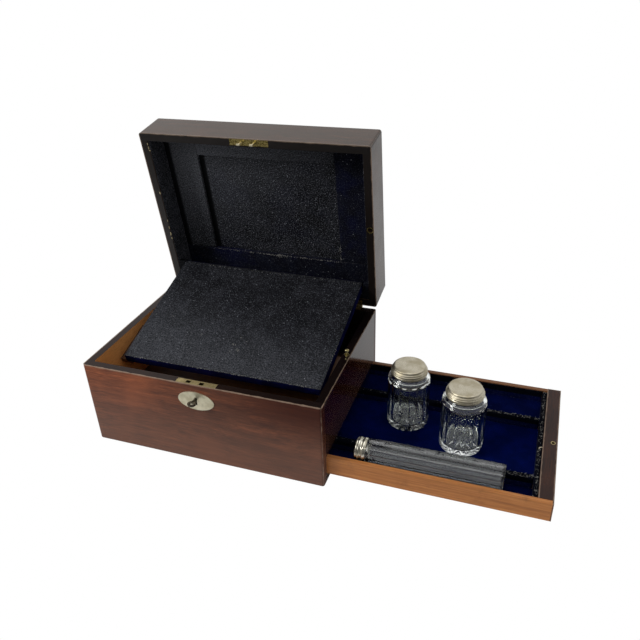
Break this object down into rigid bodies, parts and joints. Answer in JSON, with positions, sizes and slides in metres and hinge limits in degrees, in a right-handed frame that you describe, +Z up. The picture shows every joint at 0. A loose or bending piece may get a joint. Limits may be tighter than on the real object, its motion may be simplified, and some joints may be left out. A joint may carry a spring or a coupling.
{
  "type": "writing box",
  "caption": "Rosewood writing box standing open: hinged lid with a let-down writing flap, a side drawer with velvet lanes, glass jars and a glass tube with silver caps.",
  "frame": {"origin": "centre of the box's flat underside", "axes": "+X towards the side that the drawer opens on, +Y towards the hinges, +Z up"},
  "size_m": [0.5516, 0.2945, 0.3486],
  "materials": {
    "rosewood": "polished, worn",
    "carcase_wood": "waxed",
    "navy_velvet": "velvet",
    "speckled_cloth": "worn velvet",
    "brass": "aged",
    "nickel": "dull",
    "steel": "aged",
    "glass": "clear",
    "silver": "tarnished"
  },
  "bodies": {
    "box": {"front_board": "rosewood", "back_board": "rosewood", "left_board": "rosewood", "right_board": "rosewood", "drawer_sill": "rosewood", "bottom_board": "carcase_wood", "drawer_runners": "carcase_wood", "compartment_floor": "carcase_wood", "slope_ledges": "carcase_wood", "lock_case": "brass", "lock_plate": "brass", "escutcheon": "nickel", "pin_bush": "brass", "hinge_pins": "brass", "hinge_base_screws": "brass", "left_hinge_base_leaf": "brass", "right_hinge_base_leaf": "brass"},
    "lid": {"lid_top": "rosewood", "lid_front_rail": "rosewood", "lid_back_rail": "rosewood", "lid_left_rail": "rosewood", "lid_right_rail": "rosewood", "lid_recess_panel": "speckled_cloth", "lid_frame_left": "speckled_cloth", "lid_frame_right": "speckled_cloth", "lid_frame_top": "speckled_cloth", "lid_frame_bottom": "navy_velvet", "lid_wall_lining": "speckled_cloth", "hook_plate": "brass", "socket_ring": "brass", "hinge_lid_screws": "brass", "left_hinge_lid_leaf": "brass", "right_hinge_lid_leaf": "brass", "flap_ledge": "speckled_cloth", "flap_pivot_blocks": "speckled_cloth"},
    "flap": {"flap_board": "carcase_wood", "flap_top_cloth": "speckled_cloth", "flap_edge_cloth": "navy_velvet", "flap_pivots": "brass"},
    "drawer": {"drawer_end_board": "rosewood", "drawer_front_side": "carcase_wood", "drawer_back_side": "carcase_wood", "drawer_inner_end": "carcase_wood", "drawer_bottom": "carcase_wood", "front_divider": "navy_velvet", "back_divider": "navy_velvet", "front_lane_pad": "navy_velvet", "middle_lane_pad": "navy_velvet", "back_lane_pad": "navy_velvet", "drawer_lining": "navy_velvet", "pin_eyelet": "brass"},
    "drawer_pin": {"drawer_pin": "brass"},
    "key": {"key": "steel"},
    "lock_bolt": {"lock_bolt": "brass"},
    "jar_1": {"jar_1_glass": "glass"},
    "jar_1_cap": {"jar_1_cap": "silver"},
    "jar_2": {"jar_2_glass": "glass"},
    "jar_2_cap": {"jar_2_cap": "silver"},
    "tube": {"tube_glass": "glass"},
    "tube_cap": {"tube_cap": "silver"}
  },
  "joints": [
    {"name": "lid_hinge", "type": "hinge", "parent": "box", "child": "lid", "pos_m": [0, 0.11595, 0.11415], "axis": [-1, 0, 0], "range_deg": [-81.3, 0]},
    {"name": "flap_hinge", "type": "hinge", "parent": "lid", "child": "flap", "pos_m": [0, 0.11477, 0.14569], "axis": [1, 0, 0], "range_deg": [-97.8, 0]},
    {"name": "drawer_slide", "type": "slide", "parent": "box", "child": "drawer", "axis": [1, 0, 0], "range_m": [-0.2466, 0]},
    {"name": "drawer_pin_slide", "type": "slide", "parent": "box", "child": "drawer_pin", "axis": [0, 0, 1], "range_m": [-0.0073, 0]},
    {"name": "key_turn", "type": "hinge", "parent": "box", "child": "key", "pos_m": [-0.001, -0.114, 0.0945], "axis": [0, -1, 0], "range_deg": [-90, 0]},
    {"name": "bolt_slide", "type": "slide", "parent": "box", "child": "lock_bolt", "axis": [-1, 0, 0], "range_m": [-0.003, 0]},
    {"name": "jar_1_lift", "type": "slide", "parent": "box", "child": "jar_1", "axis": [0, 0, 1], "range_m": [0, 0.1036]},
    {"name": "jar_2_lift", "type": "slide", "parent": "box", "child": "jar_2", "axis": [0, 0, 1], "range_m": [0, 0.1036]},
    {"name": "tube_lift", "type": "slide", "parent": "box", "child": "tube", "axis": [0, 0, 1], "range_m": [0, 0.1036]},
    {"name": "jar_1_cap_lift", "type": "slide", "parent": "jar_1", "child": "jar_1_cap", "axis": [0, 0, 1], "range_m": [0, 0.03]},
    {"name": "jar_2_cap_lift", "type": "slide", "parent": "jar_2", "child": "jar_2_cap", "axis": [0, 0, 1], "range_m": [0, 0.03]},
    {"name": "tube_cap_pull", "type": "slide", "parent": "tube", "child": "tube_cap", "axis": [-1, 0, 0], "range_m": [0, 0.02]}
  ],
  "couplings": [
    {"joint": "flap_hinge", "follows": "lid_hinge", "ratio": 1.203},
    {"joint": "key_turn", "follows": "bolt_slide", "rad_per_m": 523.6},
    {"joint": "jar_1_lift", "follows": "drawer_slide", "ratio": -0.42},
    {"joint": "jar_2_lift", "follows": "drawer_slide", "ratio": -0.42},
    {"joint": "tube_lift", "follows": "drawer_slide", "ratio": -0.42}
  ]
}
